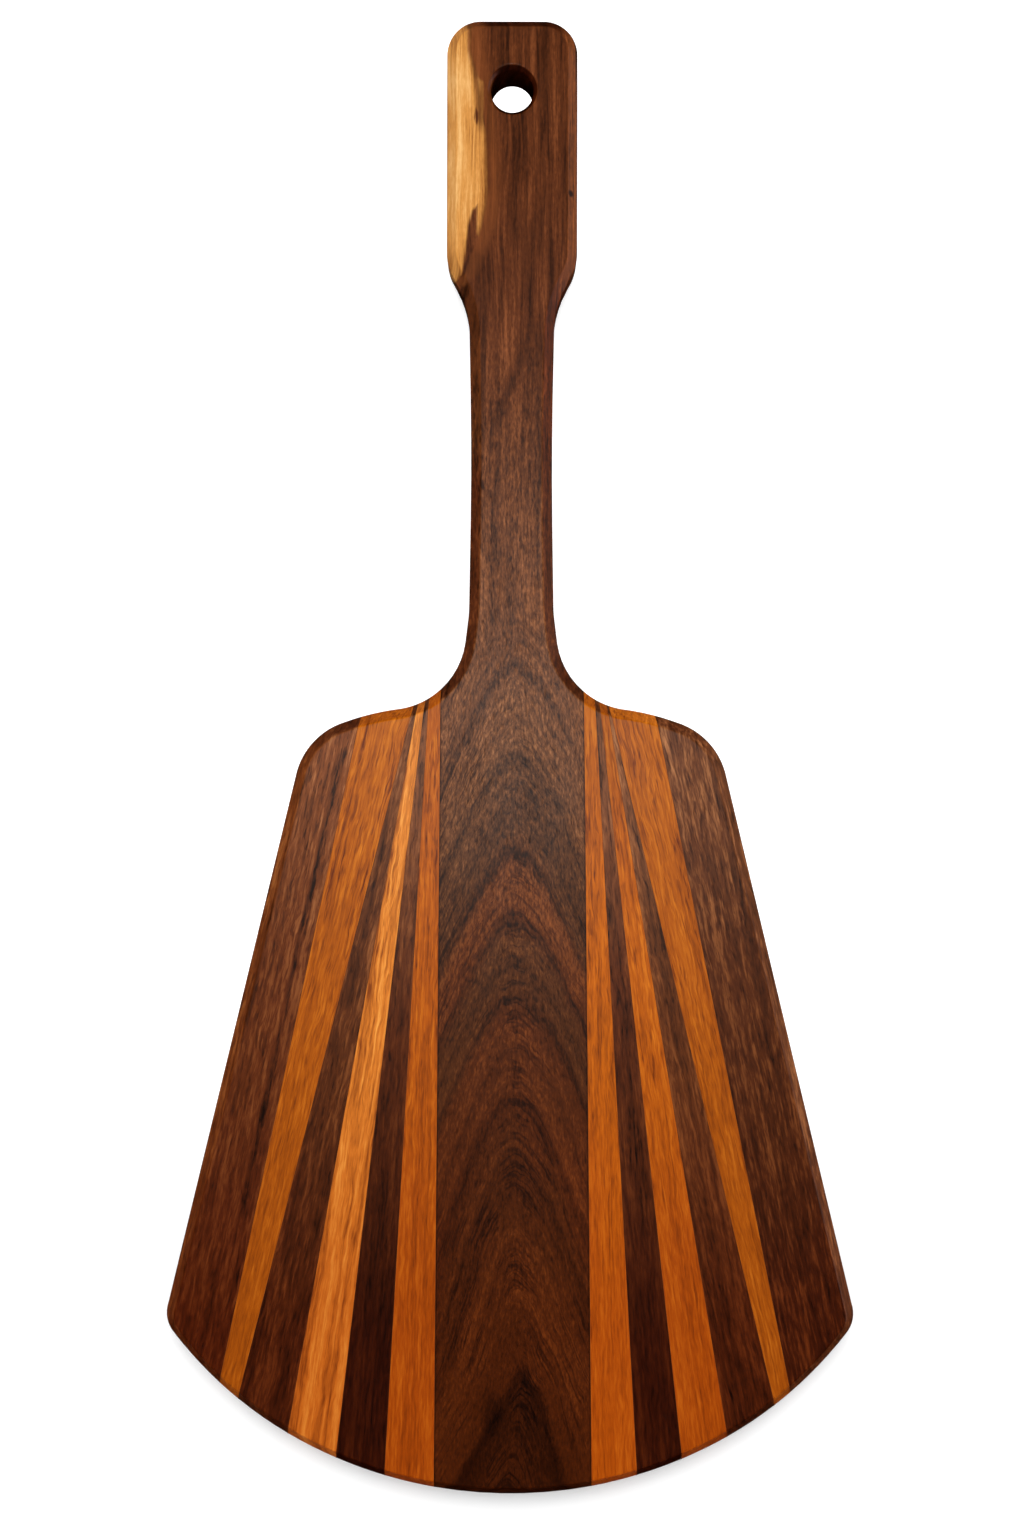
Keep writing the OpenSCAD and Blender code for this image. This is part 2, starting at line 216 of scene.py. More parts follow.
# the rounding that sanding leaves on the creases, in metres and degrees
sanding = {
    "round": 0.0006, "steps": 3,
    "creaseFrom": 30, "creaseTo": 60,    # the turns that count as a bevel's crease
    "level": 0.00005,                    # how far an edge may climb and still count as level
    "merge": 0.00025, "filmMerge": 0.000001,    # points closer than this become one, on wood and on glue
    "flat": 0.05,                        # faces that turn less than this become one
    "smooth": 25,                        # and less than this, look rounded
}


# a CAD node's mesh as a piece of its own, with its creases sanded round
def shapedCopy(node, name, sanded=True):
    piece = bpy.data.objects.new(name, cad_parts[node].data.copy())
    bpy.context.scene.collection.objects.link(piece)
    bpy.ops.object.select_all(action="DESELECT")
    piece.select_set(True)
    bpy.context.view_layer.objects.active = piece
    piece.data.materials.clear()
    bpy.ops.mesh.customdata_custom_splitnormals_clear()
    bpy.ops.object.mode_set(mode="EDIT")
    bpy.ops.mesh.select_mode(type="EDGE")
    bpy.ops.mesh.select_all(action="SELECT")
    bpy.ops.mesh.remove_doubles(threshold=sanding["merge"] if sanded else sanding["filmMerge"])
    bpy.ops.mesh.dissolve_limited(angle_limit=math.radians(sanding["flat"]))
    bpy.ops.mesh.select_all(action="DESELECT")
    mesh = bmesh.from_edit_mesh(piece.data)
    for edge in mesh.edges:
        run = edge.verts[1].co - edge.verts[0].co
        level = abs(run.z) < sanding["level"]
        turn = math.degrees(edge.calc_face_angle_signed(0.0))
        edge.select = sanded and level and sanding["creaseFrom"] < turn < sanding["creaseTo"]
    bmesh.update_edit_mesh(piece.data)
    if sanded:
        bpy.ops.mesh.bevel(offset=sanding["round"], segments=sanding["steps"], affect="EDGES",
                           clamp_overlap=False, loop_slide=False)
    bpy.ops.mesh.select_all(action="DESELECT")
    bpy.ops.object.mode_set(mode="OBJECT")
    bpy.ops.object.shade_smooth_by_angle(angle=math.radians(sanding["smooth"]))
    flatten = piece.modifiers.new("flatten", "WEIGHTED_NORMAL")
    flatten.keep_sharp = True
    bpy.ops.object.modifier_apply(modifier=flatten.name)
    return piece


def handIn(piece, node, material):
    piece.data.materials.append(material)
    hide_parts(node)
    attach(piece, "root")


# how the colour of all the wood changes over the board, partly its own tone and partly painted light and
# shade: places in mm, and how squarely a face has to face a way, 0 to 1, for its tint to start and to be
# full
shading = {
    "downFrom": 20.0, "downWander": 70.0,             # the darkening down the blade starts here, cloudily
    "middle": (0.0, 130.0), "far": (100.0, 270.0),    # its two stages, measured down from there
    "endFaces": (0.15, 0.75), "stripSides": (0.3, 0.6), "plankSides": (0.2, 0.6),
}


# darker down the blade, partly the wood's own tone and partly painted shade where the light falls off
# towards the far end: by the tint for its middle and then by the one for its far end
def darkenDown(sheet, colour, along, cloud, look, share=1.0):
    down = shading["downFrom"] - along + cloud * shading["downWander"]
    colour = sheet.tint(colour, down.step(*shading["middle"]) * share, look["middleToneAndShadeTint"])
    return sheet.tint(colour, down.step(*shading["far"]) * share, look["farTint"])


# faces turned to the ends are darker, partly end grain that drinks more oil and partly painted shade: the
# end towards the handle, then the far end
def darkenEnds(sheet, colour, look):
    along = sheet.facing(1)
    colour = sheet.tint(colour, along.step(*shading["endFaces"]), look["nearEndGrainAndShadeTint"])
    return sheet.tint(colour, (along * -1).step(*shading["endFaces"]), look["farEndGrainAndShadeTint"])


# a strip's wood: wavy growth lines along the grain, streaks, pores, and a slow change down its length
def stripWood(name, look):
    sheet = Sheet(bpy.data.materials.new(name))
    marks = look["marks"]
    u, v, w = sheet.woodPlace(look["middle"], look["lean"])
    aside = (look["seed"] * look["seedStep"], 0.0, 0.0)
    below = (0.0, look["seed"] * look["seedStep"], 0.0)
    sway = sheet.noise(marks["sway"], (u, v, w), below) * look["sway"]
    ripple = sheet.noise(marks["ripple"], (u, v, w), below) * look["ripple"]
    cloud = sheet.noise(marks["cloud"], (u, v, w), below)
    across = u + sway + ripple + w * look["ringTilt"]
    rippled = u + ripple * look["markRipple"]
    fine = sheet.noise(marks["fine"], (across, v, 0.0), aside)
    broad = sheet.noise(marks["broad"], (across, v, 7.0), aside)
    fibre = sheet.noise(marks["fibre"], (u + ripple * look["fibreRipple"], v, w), aside)
    flake = sheet.noise(marks["flake"], (rippled, v, w), aside)
    grit = sheet.noise(marks["grit"], (u + ripple, v, w), aside)
    pores = sheet.noise(marks["pores"], (u, v, w), aside)
    pores = pores.step(look["poreFrom"], look["poreFrom"] + look["poreSoft"])
    lines = fine.step(look["lineFrom"], look["lineFrom"] + look["lineSoft"])
    # strokes and veins fade towards the far end
    fade = look["farStrokes"] + (1 - look["farStrokes"]) * v.step(*look["fadeAlong"])
    strokes = sheet.noise(marks["strokes"], (rippled, v, w), (aside[0], look["strokeShift"], 0.0))
    strokes = strokes.step(*look["strokeEdge"]) * fade
    # thin dark veins where a slow noise passes through zero
    veins = sheet.noise(marks["veins"], (across, v, 9.0), aside).bump(0.0, look["veinWidth"])
    veins = veins * flake.step(*look["veinPatches"]) * fade
    tone = (0.5 + fine * look["fine"] + broad * look["broad"] + fibre * look["fibre"] + flake * look["flake"]
            + cloud * look["cloud"] + grit * look["grit"] - lines * look["lineDepth"]
            - strokes * look["strokeDepth"] - pores * look["poreDepth"] - veins * look["veinDepth"])
    frayed = u + sway * look["streakSway"] + fibre * look["streakFray"]
    for place, halfWidth, top, bottom, depth in look["streaks"]:
        length = v.window(bottom, bottom + look["streakEase"], top - look["streakEase"], top)
        tone = tone - frayed.bump(place, halfWidth) * length * depth
    colour = sheet.ramp(tone, (0.0, look["dark"]), (0.5, look["mid"]), (1.0, look["light"]))
    colour = sheet.tint(colour, v.step(*look["shoulderAlong"]), look["shoulderTint"])
    # the painted shade down the blade is weaker on the board's long side bevels, where side light keeps them
    # bright
    side = abs(sheet.facing(0)).step(*shading["stripSides"])
    colour = darkenDown(sheet, colour, v, cloud, look, 1 - side * look["sideEvenness"])
    # painted light and shade on the long side bevels: darker on the left edge strip, lighter on the right
    # edge strip
    colour = sheet.tint(colour, side, look["sideLightAndShadeTint"])
    # painted sheen on the faces turned towards the handle
    colour = sheet.tint(colour, sheet.facing(1).step(*shading["stripSides"]), look["shoulderEdgeSheenTint"])
    colour = darkenEnds(sheet, colour, look)
    roughness = oil["roughness"] + cloud * oil["cloudRoughness"] + pores * oil["poreRoughness"]
    return sheet.finish(colour, roughness, fibre * oil["grainRelief"] - pores, oil)


# the places, noises and zones that the parts of the plank's wood share
def plankGrain(sheet, look):
    marks, zones = look["marks"], look["zones"]
    x, y, z = sheet.woodPlace(0.0, 0.0)
    grain = SimpleNamespace(x=x, y=y, z=z, depth=look["thickness"] - z)
    grain.cloud = sheet.noise(marks["cloud"], (x, y, z))
    grain.jag = sheet.noise(marks["jag"], (x, y, z))
    grain.grit = sheet.noise(marks["grit"], (x, y, z))
    grain.pores = sheet.noise(marks["pores"], (x, y, z)).step(*look["poreEdge"])
    grain.sway = x + sheet.noise(marks["sway"], (x, y, z)) * look["sway"] + grain.depth * look["swayLean"]
    grain.combed = sheet.noise(marks["combed"], (grain.sway, y, z)).step(*look["combedEdge"])
    grain.streaks = sheet.noise(marks["streaks"], (grain.sway, y, 5.0))
    grain.threads = sheet.noise(marks["threads"], (grain.sway, y, 8.0))
    grain.head = y.step(*zones["head"])
    grain.handle = y.step(*zones["handle"])
    grain.calm = look["bladeCalm"] + (1 - look["bladeCalm"]) * y.step(*zones["calm"])
    sideways = sheet.facing(0)
    grain.leftFace = (sideways * -1).step(*shading["plankSides"])
    grain.rightFace = sideways.step(*shading["plankSides"])
    return grain


# the nested arches down the blade: how far up each point's own arch has its top, and how light the wood is
def bladeTone(sheet, grain, look):
    marks, zones = look["marks"], look["zones"]
    side = grain.x - look["archMiddle"] - grain.depth * look["archLean"] + grain.cloud * look["sideWander"]
    side = side - sheet.curve(grain.y, look["archDrift"])
    # the arches are blunt near the handle and sharp near the far end
    blunt = 1 - (1 - grain.y.step(*zones["blunt"])) * look["archSharpening"]
    blunt = blunt * look["archRound"]
    rise = (side * side + blunt * blunt).root() - blunt
    arch = (grain.y + rise * look["archSlope"] - grain.depth * look["archDip"]
            + grain.cloud * look["archWander"] + grain.jag * look["archJag"])
    arches = sheet.noise(marks["arches"], (arch, side, 3.0))
    flow = sheet.noise(marks["flow"], (arch, side, grain.depth))
    curls = sheet.noise(marks["curls"], (arch, side, grain.depth), look["curlShift"])
    curls = curls.step(*look["curlEdge"])
    # dark hairlines where a slow noise passes through zero
    hairlines = sheet.noise(marks["rings"], (arch, side, 9.0)).bump(0.0, look["hairlineWidth"])
    patches = (grain.cloud + grain.jag * look["hairlineJag"]).step(*look["hairlinePatches"])
    # the lowest arches blend into one dark shape
    quiet = look["endCalm"] + (1 - look["endCalm"]) * grain.y.step(*zones["quiet"])
    figure = arches * look["archDepth"] + (flow * look["flowDepth"] - curls * look["curlDepth"]) * grain.calm
    tone = sheet.curve(arch, look["archTones"]) + figure * quiet
    return arch, tone - hairlines * patches * look["hairlineDepth"]


# the straight grain up the handle: woven strokes on the neck, combed ones on the head
def handleTone(sheet, grain, look):
    woven = sheet.noise(look["marks"]["woven"], (grain.sway + grain.y * look["weave"], grain.y, grain.z))
    woven = woven.step(*look["wovenEdge"])
    strokes = woven + (grain.combed - woven) * grain.head
    return (0.5 + grain.streaks * look["streakDepth"] + grain.threads * look["threadDepth"]
            - strokes * look["strokeDepth"])


# the plank's small marks: grit, curls, pores, the neck's streak, blotches, and the lines beside the seams
def plankMarks(sheet, grain, tone, look):
    x, y, z = grain.x, grain.y, grain.z
    marks, zones = look["marks"], look["zones"]
    curl = sheet.noise(marks["curl"], (x + y * look["curlLean"], y, z)) * y.bump(*zones["curl"])
    grit = grain.grit * look["grit"] * grain.calm * (1 - grain.head * look["headCalm"])
    tone = tone + grit + grain.cloud * look["cloud"] + curl * look["curl"] - grain.pores * look["poreDepth"]
    slant = x + sheet.noise(marks["slant"], (x, y, z)) * look["slantWander"]
    slant = (slant - sheet.curve(y, look["neckStreak"])).bump(0.0, look["neckStreakWidth"])
    slant = slant * y.window(*zones["neckStreak"])
    tone = tone - slant * look["neckStreakDepth"]
    for place, level, halfWidth, halfHeight, depth in look["blotches"]:
        far = ovalPlace(x, y, place, level, halfWidth, halfHeight) + grain.jag * look["blotchJag"]
        tone = tone - (1 - far.step(*look["blotchEdge"])) * depth
    for slope, start in look["seams"]:
        tone = tone - (x - y * slope).bump(start, look["seamWidth"]) * look["seamDepth"]
    return tone


# the plank's heartwood, with its slow changes of colour and painted light and shade for each way that it
# faces
def heartwood(sheet, grain, arch, tone, look):
    y, zones = grain.y, look["zones"]
    colour = sheet.ramp(tone, (0.0, look["dark"]), (0.28, look["deep"]), (0.55, look["mid"]),
                        (1.0, look["light"]))
    warm = sheet.curve(arch + grain.cloud * look["warmWander"], look["archWarmth"])
    warm = warm * (1 - grain.handle) + grain.handle * look["handleWarmth"]
    colour = sheet.tint(colour, warm, look["warmTint"])
    colour = darkenDown(sheet, colour, y, grain.cloud, look)
    colour = sheet.tint(colour, y.step(*zones["headTint"]), look["headTint"])
    colour = darkenEnds(sheet, colour, look)
    # painted light and shade on the side bevels: darker on the neck's lower half, lighter on the head's
    # right
    upper = y.step(*zones["upperNeck"])
    leftLighting = sheet.blend(upper, paint(*look["neckLowSideShade"]), paint(*look["neckLeftSideLighting"]))
    rightLighting = sheet.blend(upper, paint(*look["neckLowSideShade"]), paint(*look["neckRightSideLighting"]))
    rightLighting = sheet.blend(y.step(*zones["headSides"]), rightLighting, paint(*look["headRightSideLight"]))
    colour = sheet.blend(grain.leftFace, colour, leftLighting, "MULTIPLY")
    colour = sheet.blend(grain.rightFace, colour, rightLighting, "MULTIPLY")
    # oil soaks into the hole's rim and wall, and painted shade darkens them as the shade inside the hole
    inHole = 1 - ovalPlace(grain.x, y, 0.0, look["holeAt"], 1.0, 1.0).step(*look["holeEdge"])
    return sheet.tint(colour, inHole, look["holeOilAndShadeTint"])


# pale sapwood down the head's left side, cut off by dark tongues, with a warm band of heartwood beside it
def sapwood(sheet, grain, colour, look):
    x, y, z = grain.x, grain.y, grain.z
    marks = look["marks"]
    stray = x + grain.depth * look["sapSlant"] + sheet.noise(marks["stray"], (x, y, z)) * look["sapWander"]
    inside = stray - sheet.curve(y, look["sapEdge"])
    sap = 1 - inside.step(*look["sapSoft"])
    tongue = (stray - sheet.curve(y, look["tongueEdge"])).step(*look["tongueSoft"])
    tongue = tongue * (1 - (stray - look["sliver"]).step(*look["tongueSoft"]))
    sap = (sap - tongue).atLeast(0.0)
    # a dark flame slants down through its upper end
    flame = (stray - sheet.curve(y, look["flame"])).bump(0.0, look["flameWidth"])
    sap = sap * (1 - flame * y.step(*look["zones"]["flame"]) * look["flameDepth"])
    for knot in look["knots"]:
        sap = sap * ovalPlace(stray, y, *knot).step(*look["knotEdge"])
    streaky = (1 - look["bandComb"]) + look["bandComb"] * grain.combed
    band = inside.window(*look["bandPlace"]) * grain.head * streaky
    colour = sheet.blend(band * look["bandDepth"], colour, paint(*look["bandColour"]))
    # brown lines run down the sapwood, thickest near its edge
    lines = sheet.noise(marks["lines"], (grain.sway, y, 12.0)).step(*look["sapLineEdge"])
    nearEdge = inside.step(*look["sapNear"])
    # the sapwood's left bevel is darkened as painted shade
    tone = (look["sapTone"] + grain.streaks * look["sapStreaks"] + grain.threads * look["sapThreads"]
            + grain.grit * look["sapGrit"] - lines * (look["sapLines"] + nearEdge * look["sapEdgeLines"])
            - nearEdge * look["sapEdgeDepth"] - grain.leftFace * look["sapLeftShadeDepth"])
    pale = sheet.ramp(tone, (0.0, look["sapDark"]), (0.5, look["sapMid"]), (1.0, look["sapLight"]))
    return sheet.blend(sap, colour, pale)


# the centre plank's wood: nested arches down the blade, straight grain up the handle, pale sapwood
def plankWood(name, look):
    sheet = Sheet(bpy.data.materials.new(name))
    grain = plankGrain(sheet, look)
    arch, blade = bladeTone(sheet, grain, look)
    neck = handleTone(sheet, grain, look)
    tone = plankMarks(sheet, grain, blade + (neck - blade) * grain.handle, look)
    colour = heartwood(sheet, grain, arch, tone, look)
    colour = sapwood(sheet, grain, colour, look)
    roughness = oil["roughness"] + grain.cloud * oil["cloudRoughness"] + grain.pores * oil["poreRoughness"]
    return sheet.finish(colour, roughness, grain.grit * oil["grainRelief"] - grain.pores, oil)


# places and widths in mm; a tint is what a colour is multiplied by, and a depth is how much a mark darkens
plank = {
    "thickness": 19.0,
    "dark": (28, 14, 7), "deep": (66, 38, 20), "mid": (106, 64, 36), "light": (176, 118, 74),
    "warmTint": (250, 222, 195),
    "middleToneAndShadeTint": (200, 182, 155),    # half way down the blade, the wood's own tone and painted shade
    "farTint": (228, 196, 140),       # and once more at its far end
    "headTint": (226, 206, 196),
    "nearEndGrainAndShadeTint": (165, 145, 130), "farEndGrainAndShadeTint": (240, 232, 225),
    # painted light and shade on the sides of the neck's lower half, of its upper half, and of the head
    "neckLowSideShade": (212, 180, 152), "neckLeftSideLighting": (268, 262, 236), "neckRightSideLighting": (266, 227, 177),
    "headRightSideLight": (366, 372, 345),
    # the hole, and its tint: oil soaked in, and painted shade inside
    "holeAt": 275.0, "holeEdge": (10.15, 10.45), "holeOilAndShadeTint": (150, 120, 100),
    # where along the board each change starts and ends
    "zones": {
        "quiet": (-255.0, -222.0), "blunt": (-240.0, -130.0), "calm": (-150.0, -50.0),
        "handle": (25.0, 75.0), "headTint": (60.0, 200.0), "upperNeck": (112.0, 134.0),
        "head": (130.0, 200.0), "headSides": (185.0, 215.0), "flame": (255.0, 264.0),
        "curl": (75.0, 120.0),                      # a middle and a reach
        "neckStreak": (125.0, 140.0, 165.0, 178.0),
    },
    # each kind of mark: its size in mm across, along and through the wood, its detail and its roughness
    "marks": {
        "cloud": ((16, 45, 16), 2.0, 0.5), "jag": ((4.5, 13, 6), 3.0, 0.6),
        "grit": ((0.8, 2.6, 1.2), 2.0, 0.6), "pores": ((0.3, 3.6, 0.3), 1.0, 0.5),
        "sway": ((20, 60, 20), 2.0, 0.5), "combed": ((1.2, 30, 3), 3.0, 0.65),
        "streaks": ((4.2, 110, 1), 3.0, 0.6), "threads": ((1.1, 30, 1), 4.0, 0.65),
        "woven": ((1.1, 6, 1.3), 2.0, 0.55), "curl": ((1.5, 5, 3), 2.0, 0.5),
        "slant": ((3, 14, 6), 2.0, 0.5), "stray": ((1.2, 26, 5), 3.0, 0.65),
        "lines": ((0.9, 45, 1), 3.0, 0.65),
        # these four follow the arches, and their size up through the arches comes first
        "arches": ((9, 60, 1), 3.0, 0.6), "flow": ((2.6, 1.5, 6), 3.0, 0.65),
        "curls": ((2.2, 1.7, 5), 2.0, 0.6), "rings": ((7, 50, 1), 2.0, 0.6),
    },
    "archMiddle": 2.0, "archRound": 13.0, "archSharpening": 0.7, "archSlope": 2.5,
    "archLean": 0.25, "archDip": 1.6,                        # how the arches shift with depth
    "sideWander": 5.0, "archWander": 8.0, "archJag": 5.0,    # and how unsteady they are
    "bladeCalm": 0.65, "endCalm": 0.6,                       # the share of the fine marks that is left there
    "headCalm": 0.5,                                         # the share of the grit that the head loses
    # how far the arches' middle wanders to the right, by place along the board
    "archDrift": [(-300, -2.5), (-262, 3.5), (-252, 3.5), (-200, 0.0), (0, 0.0)],
    # how light the arches are, by how far up their tops lie
    "archTones": [(-330, 0.37), (-285, 0.36), (-270, 0.33), (-262, 0.28), (-254, 0.29), (-247, 0.48),
                  (-230, 0.52), (-200, 0.56), (-172, 0.46), (-167, 0.4), (-160, 0.5), (-146, 0.5),
                  (-142, 0.4), (-136, 0.56), (-104, 0.56), (-100, 0.4), (-97, 0.4), (-94, 0.5),
                  (-87, 0.5), (-84, 0.42), (-80, 0.5), (-69, 0.5), (-67, 0.36), (-65, 0.38),
                  (-62, 0.59), (-45, 0.61), (-41, 0.46), (-39, 0.36), (-36, 0.42), (-20, 0.43),
                  (-4, 0.48), (-1, 0.36), (2, 0.4), (6, 0.56), (32, 0.57), (35, 0.4), (38, 0.42),
                  (42, 0.56), (90, 0.55)],
    # how red-brown they are, where 0 is grey
    "archWarmth": [(-330, 0.8), (-160, 0.7), (-140, 1.0), (-105, 1.0), (-92, 0.2), (-74, 0.2),
                   (-62, 1.0), (-46, 1.0), (-32, 0.1), (0, 0.0), (40, 0.3), (90, 0.35)],
    "warmWander": 12.0, "handleWarmth": 0.55,
    "archDepth": 0.5, "flowDepth": 0.9, "curlDepth": 0.13, "curlEdge": (0.05, 0.12),
    "curlShift": (50.0, 0.0, 0.0),                           # keeps the curls apart from the flow
    "hairlineDepth": 0.24, "hairlineWidth": 0.05, "hairlineJag": 0.5, "hairlinePatches": (-0.1, 0.1),
    "streakDepth": 0.75, "threadDepth": 0.85, "strokeDepth": 0.18,
    "wovenEdge": (0.06, 0.12), "combedEdge": (0.0, 0.18),
    "weave": 0.04, "curlLean": 0.214286,                     # how the neck's strokes and curls lean
    "sway": 5.0, "swayLean": 0.35,
    "grit": 0.8, "cloud": 0.3, "curl": 0.25, "poreDepth": 0.14, "poreEdge": (0.12, 0.24),
    # a slanting dark streak across the neck: its places along the board and across it
    "neckStreak": [(120, -12.0), (133, -7.5), (144, -4.0), (158, 1.5), (166, 4.5), (180, 6.0)],
    "neckStreakWidth": 4.0, "neckStreakDepth": 0.2, "slantWander": 5.0,
    # dark blotches and pin knots: place, level, half width, half height, depth
    "blotches": [(-15.2, 203.0, 4.0, 9.0, 0.22), (24.3, 232.7, 1.3, 1.6, 0.5),
                 (-12.0, 112.0, 1.0, 2.6, 0.4), (-9.0, 262.0, 1.8, 16.0, 0.2),
                 (-7.5, -270.0, 6.0, 13.0, 0.16), (16.0, -225.0, 20.0, 45.0, -0.06)],
    "blotchEdge": (0.3, 1.1), "blotchJag": 0.8,
    "seams": [(0.0067, -29.27), (-0.0115, 30.27)],           # each seam's slope and its place at y 0
    "seamWidth": 0.9, "seamDepth": 0.3,
    # the edges of the sapwood and of the tongue under it: places along the board and across it
    "sapEdge": [(190, -34.0), (196, -22.5), (199, -19.6), (206, -17.6), (213, -14.6), (219, -12.6),
                (226, -11.4), (233, -10.8), (241, -10.6), (250, -10.9), (258, -11.4), (266, -12.0),
                (278, -12.2), (280.5, -14.4), (285, -15.8), (292, -17.6), (305, -17.2)],
    "tongueEdge": [(190, -23.0), (199, -21.0), (208.6, -19.2), (218.7, -18.2), (225, -16.4),
                   (228, -14.2), (229, -10.0), (305, -10.0)],
    "sapSlant": 0.3, "sapWander": 2.6, "sapSoft": (-1.3, 1.1), "tongueSoft": (-0.8, 0.8),
    "sliver": -14.2,                                         # right of here the tongue ends
    "flame": [(256, -12.8), (272, -13.6), (282, -15.0), (291, -16.8), (305, -17.8)],
    "flameWidth": 2.6, "flameDepth": 0.8,
    "knots": [(-14.6, 264.0, 0.9, 4.0), (-11.2, 263.0, 0.9, 4.5)], "knotEdge": (0.6, 1.1),
    "bandPlace": (-0.5, 1.0, 3.0, 8.0), "bandComb": 0.6, "bandDepth": 0.75, "bandColour": (138, 74, 34),
    "sapDark": (128, 66, 20), "sapMid": (210, 144, 70), "sapLight": (250, 204, 136),
    "sapTone": 0.6, "sapStreaks": 0.9, "sapThreads": 1.1, "sapGrit": 0.3,
    # the darker wood near the sapwood's edge, and painted shade on its left bevel
    "sapNear": (-11.0, 0.0), "sapEdgeDepth": 0.28, "sapLeftShadeDepth": 0.16,
    "sapLines": 0.1, "sapEdgeLines": 0.3, "sapLineEdge": (0.02, 0.2),
}

plankBody = shapedCopy("centre_plank", "centre_plank_body")
handIn(plankBody, "centre_plank", plankWood("plank_walnut_wood", plank))
print("centre plank shaped")

# what all the strips share, in mm
strip = {
    "seedStep": 37.0,    # how far apart two strips read the noise
    # a tint near the shoulder, and a painted sheen on the faces turned towards the handle
    "shoulderTint": (255, 255, 255), "shoulderEdgeSheenTint": (255, 255, 255), "shoulderAlong": (-45.0, 5.0),
    # painted light and shade on the long side bevels, and how much of the painted shade down the blade they
    # lose
    "sideLightAndShadeTint": (255, 255, 255), "sideEvenness": 0.5,
    "ringTilt": 0.5,
    "markRipple": 2.0, "fibreRipple": 1.5,    # how strongly the marks and the fibres follow the ripples
    "poreSoft": 0.12, "lineSoft": 0.1, "strokeEdge": (0.06, 0.12), "strokeShift": 40.0,
    "veinWidth": 0.05, "veinPatches": (-0.06, 0.08), "fadeAlong": (-260.0, -20.0),
    "streaks": [], "streakEase": 40.0, "streakSway": 0.5, "streakFray": 2.0,
}
# each kind of mark: its size in mm across, along and through the wood, its detail and its roughness
stripMarks = {
    "sway": ((26, 95, 30), 2.0, 0.5), "ripple": ((9, 17, 12), 2.0, 0.5),
    "cloud": ((14, 60, 14), 2.0, 0.5), "flake": ((2.4, 24, 3), 3.0, 0.6),
    "pores": ((0.34, 5, 0.34), 1.0, 0.5), "veins": ((2.6, 40, 1), 2.0, 0.6),
}
walnutMarks = dict(
    stripMarks, fine=((1.6, 130, 1), 2.0, 0.6), broad=((6.0, 200, 1), 2.0, 0.5),
    fibre=((1.05, 11.0, 1.4), 3.0, 0.65), strokes=((1.1, 8.0, 1.4), 2.0, 0.55),
    grit=((0.85, 4.5, 1.2), 2.0, 0.6),
)
cherryMarks = dict(
    stripMarks, fine=((1.3, 130, 1), 2.0, 0.6), broad=((7.0, 200, 1), 2.0, 0.5),
    fibre=((1.05, 17.0, 1.4), 3.0, 0.65), strokes=((1.1, 13.0, 1.4), 2.0, 0.55),
    grit=((0.85, 6.0, 1.2), 2.0, 0.6),
)
tanMarks = dict(cherryMarks, broad=((3.5, 200, 1), 2.0, 0.5))

walnut = dict(
    strip, slot="strip_walnut", marks=walnutMarks,
    dark=(30, 13, 4), mid=(116, 66, 34), light=(190, 126, 76),
    middleToneAndShadeTint=(200, 180, 158), farTint=(190, 150, 115),
    nearEndGrainAndShadeTint=(165, 145, 130), farEndGrainAndShadeTint=(220, 210, 200),
    sway=5.0, ripple=1.6, fine=0.6, broad=0.6, fibre=1.1, flake=0.6, cloud=0.4, grit=0.4,
    lineFrom=0.12, lineDepth=0.15, strokeDepth=0.2, farStrokes=0.5, veinDepth=0.14,
    poreFrom=0.12, poreDepth=0.18,
)
innerWalnut = dict(walnut, mid=(128, 74, 40), middleToneAndShadeTint=(178, 148, 120), farTint=(152, 118, 85))
cherry = dict(
    strip, slot="cherry", marks=cherryMarks,
    dark=(100, 40, 5), mid=(180, 90, 5), light=(228, 138, 34),
    middleToneAndShadeTint=(250, 243, 235), farTint=(222, 196, 165),
    nearEndGrainAndShadeTint=(225, 212, 200), farEndGrainAndShadeTint=(235, 225, 220),
    sway=4.0, ripple=1.8, fine=0.55, broad=0.4, fibre=0.85, flake=0.45, cloud=0.25, grit=0.5,
    lineFrom=0.06, lineDepth=0.24, strokeDepth=0.22, farStrokes=0.15, veinDepth=0.3,
    poreFrom=0.18, poreDepth=0.16,
)
wideCherry = dict(cherry, mid=(175, 90, 6), middleToneAndShadeTint=(240, 230, 226), farTint=(236, 230, 234))
tan = dict(
    cherry, slot="tan_wood", marks=tanMarks, dark=(128, 60, 12), mid=(212, 124, 40), light=(250, 178, 84),
    sway=7.0, fine=0.9, broad=1.6, nearEndGrainAndShadeTint=(200, 180, 150),
)

